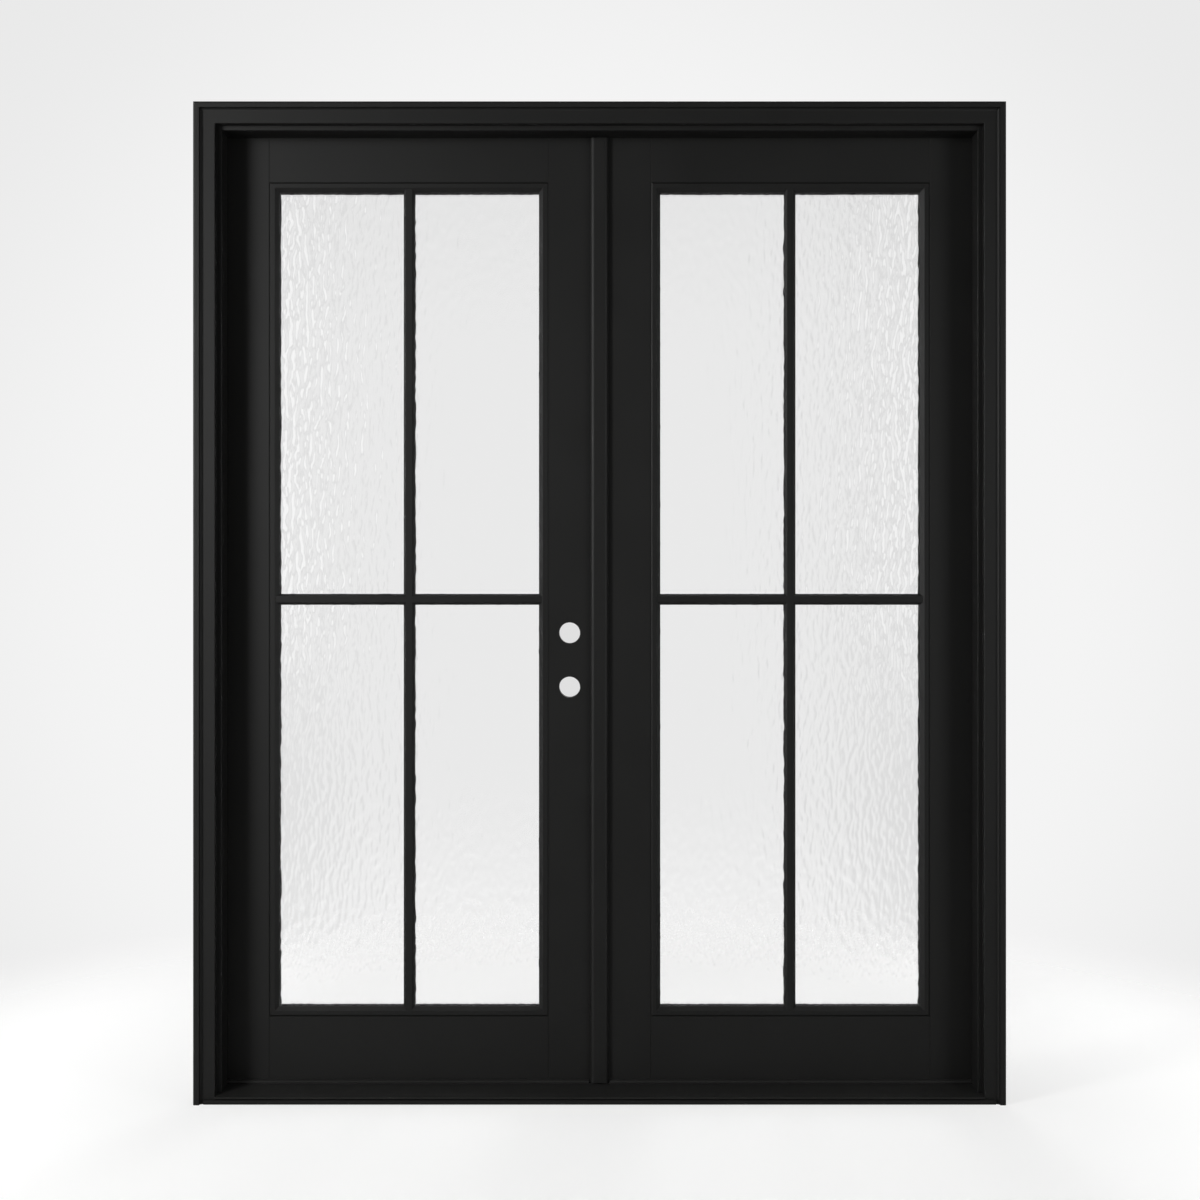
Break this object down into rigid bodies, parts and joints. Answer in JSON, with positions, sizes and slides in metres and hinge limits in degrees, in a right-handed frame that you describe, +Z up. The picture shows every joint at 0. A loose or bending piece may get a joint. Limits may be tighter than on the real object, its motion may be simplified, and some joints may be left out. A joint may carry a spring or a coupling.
{
  "type": "french doors",
  "caption": "Double inswing entry doors in their frame: full-lite leaves with rain glass and divided panes, brickmould casing, sloped sill, astragal and flush bolts",
  "frame": {"origin": "middle of the sill's underside, in the plane of the jambs' outdoor edges", "axes": "+X to the right seen from outdoors, +Y from outdoors to indoors, +Z up"},
  "size_m": [2.046, 0.1615, 2.5255],
  "materials": {
    "painted_wood": "wood and composite under satin black paint",
    "sill_composite": "black moulded composite, fine matt grain",
    "black_aluminium": "extruded, black anodised, satin",
    "seal_rubber": "soft black seal, matt",
    "rain_glass": "rolled rain glass, running drops on one face",
    "clear_glass": "clear float glass",
    "spacer_bar": "folded spacer bar, black",
    "black_hinge_steel": "pressed steel, satin black coating",
    "bolt_steel": "drawn steel, fine lengthwise brushing"
  },
  "bodies": {
    "frame": {"left_jamb": "painted_wood", "right_jamb": "painted_wood", "head_jamb": "painted_wood", "left_casing": "painted_wood", "right_casing": "painted_wood", "head_casing": "painted_wood", "sill_base": "sill_composite", "sill_deck": "black_aluminium", "threshold_cap": "sill_composite", "left_seal": "seal_rubber", "right_seal": "seal_rubber", "head_seal": "seal_rubber", "corner_pads": "seal_rubber", "head_strike": "bolt_steel", "sill_strike": "bolt_steel", "left_frame_hinges": "black_hinge_steel", "right_frame_hinges": "black_hinge_steel", "left_hinge_pins": "black_hinge_steel", "right_hinge_pins": "black_hinge_steel"},
    "left_leaf": {"left_hinge_stile": "painted_wood", "left_lock_stile": "painted_wood", "left_top_rail": "painted_wood", "left_bottom_rail": "painted_wood", "left_outer_beads": "painted_wood", "left_inner_beads": "painted_wood", "left_outer_pane": "rain_glass", "left_inner_pane": "clear_glass", "left_spacer": "spacer_bar", "left_outer_grille": "painted_wood", "left_inner_grille": "painted_wood", "left_setting_blocks": "seal_rubber", "left_sweep": "seal_rubber", "left_leaf_hinges": "black_hinge_steel"},
    "right_leaf": {"right_hinge_stile": "painted_wood", "right_meeting_stile": "painted_wood", "right_top_rail": "painted_wood", "right_bottom_rail": "painted_wood", "right_outer_beads": "painted_wood", "right_inner_beads": "painted_wood", "right_outer_pane": "rain_glass", "right_inner_pane": "clear_glass", "right_spacer": "spacer_bar", "right_outer_grille": "painted_wood", "right_inner_grille": "painted_wood", "right_setting_blocks": "seal_rubber", "right_sweep": "seal_rubber", "right_leaf_hinges": "black_hinge_steel", "astragal_flange": "painted_wood", "astragal_stem": "painted_wood", "astragal_seal": "seal_rubber"},
    "top_bolt": {"top_bolt": "bolt_steel"},
    "bottom_bolt": {"bottom_bolt": "bolt_steel"}
  },
  "joints": [
    {"name": "left_leaf_swing", "type": "hinge", "parent": "frame", "child": "left_leaf", "pos_m": [-0.9687, 0.123, 1.2537], "axis": [0, 0, 1], "range_deg": [0, 170]},
    {"name": "right_leaf_swing", "type": "hinge", "parent": "frame", "child": "right_leaf", "pos_m": [0.9687, 0.123, 1.2537], "axis": [0, 0, -1], "range_deg": [0, 170]},
    {"name": "top_bolt_slide", "type": "slide", "parent": "right_leaf", "child": "top_bolt", "axis": [0, 0, 1], "range_m": [0, 0.02]},
    {"name": "bottom_bolt_slide", "type": "slide", "parent": "right_leaf", "child": "bottom_bolt", "axis": [0, 0, -1], "range_m": [0, 0.02]}
  ]
}
